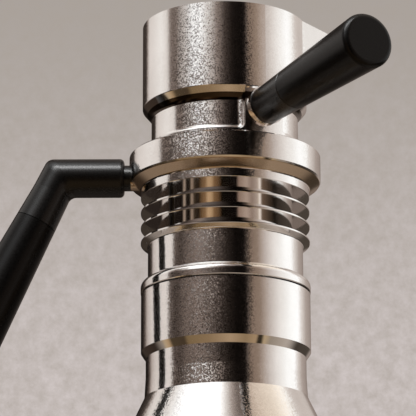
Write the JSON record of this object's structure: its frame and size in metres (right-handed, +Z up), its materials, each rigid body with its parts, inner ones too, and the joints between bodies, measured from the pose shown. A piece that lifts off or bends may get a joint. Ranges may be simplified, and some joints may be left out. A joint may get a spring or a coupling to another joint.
{
  "type": "stovetop espresso maker",
  "caption": "Tall turned stovetop espresso maker: screw-on base boiler, conical boiler body, finned group with a collar, bayonet portafilter with a cup and pour lip, black rod handles.",
  "frame": {"origin": "middle of the flat underside of the base boiler, on the stove", "axes": "+Z up the axis, the lifting handle along -X, the portafilter handle towards -Y and +X"},
  "size_m": [0.1792, 0.1505, 0.2275],
  "materials": {
    "plated_brass": "satin nickel plate over brass, fine bead-blasted speckle",
    "bare_brass": "turned brass, unplated",
    "steel": "brushed stainless steel",
    "black_metal": "satin black coating on metal",
    "black_grip": "satin black moulded plastic",
    "seal_rubber": "red-brown silicone rubber",
    "copper": "bright copper tube",
    "spring_steel": "drawn spring wire"
  },
  "bodies": {
    "base": {"base_boiler": "plated_brass", "safety_valve_body": "bare_brass", "safety_valve_cap": "bare_brass", "safety_valve_spring": "spring_steel"},
    "relief_poppet": {"safety_valve_poppet": "steel"},
    "seal_ring": {"boiler_seal": "seal_rubber"},
    "upper": {"boiler_body": "plated_brass", "riser_tube": "steel", "riser_strainer": "steel", "regulator_housing": "bare_brass", "regulator_seal": "seal_rubber", "regulator_adjuster": "bare_brass", "regulator_spring": "spring_steel", "cooling_coil": "copper", "coil_inlet_union": "bare_brass", "coil_outlet_union": "bare_brass", "body_joint_seal": "seal_rubber", "group_body": "plated_brass", "group_seal": "seal_rubber", "dispersion_screen": "steel", "screen_screw": "steel", "lift_handle_stud": "black_metal", "lift_handle_elbow": "black_metal", "lift_grip_stud": "black_metal", "lift_handle_grip": "black_grip"},
    "regulator_piston": {"regulator_piston": "steel"},
    "portafilter": {"portafilter_body": "plated_brass", "filter_basket": "steel", "basket_clip": "spring_steel", "coffee_column": "steel", "column_seal": "seal_rubber", "column_cap": "plated_brass", "portafilter_handle_stud": "black_metal", "portafilter_handle_root": "black_metal", "portafilter_grip_stud": "black_metal", "portafilter_handle_grip": "black_grip"}
  },
  "joints": [
    {"name": "base_lift", "type": "slide", "parent": "base", "child": "seal_ring", "axis": [0, 0, 1], "range_m": [0, 0.0075]},
    {"name": "base_screw", "type": "hinge", "parent": "seal_ring", "child": "upper", "pos_m": [0, 0, 0.04], "axis": [0, 0, 1], "range_deg": [0, 720]},
    {"name": "portafilter_turn", "type": "hinge", "parent": "upper", "child": "portafilter", "pos_m": [0, 0, 0.17], "axis": [0, 0, 1], "range_deg": [0, 60]},
    {"name": "regulator_lift", "type": "slide", "parent": "upper", "child": "regulator_piston", "axis": [0, 0, 1], "range_m": [0, 0.0015], "stiffness_N_per_m": 4000, "springref_m": -0.002, "deforming": ["regulator_spring"]},
    {"name": "relief_lift", "type": "slide", "parent": "base", "child": "relief_poppet", "axis": [0, 1, 0], "range_m": [0, 0.001], "stiffness_N_per_m": 4000, "springref_m": -0.001, "deforming": ["safety_valve_spring"]}
  ],
  "couplings": [
    {"joint": "base_lift", "follows": "base_screw", "m_per_rad": 0.00047746}
  ]
}
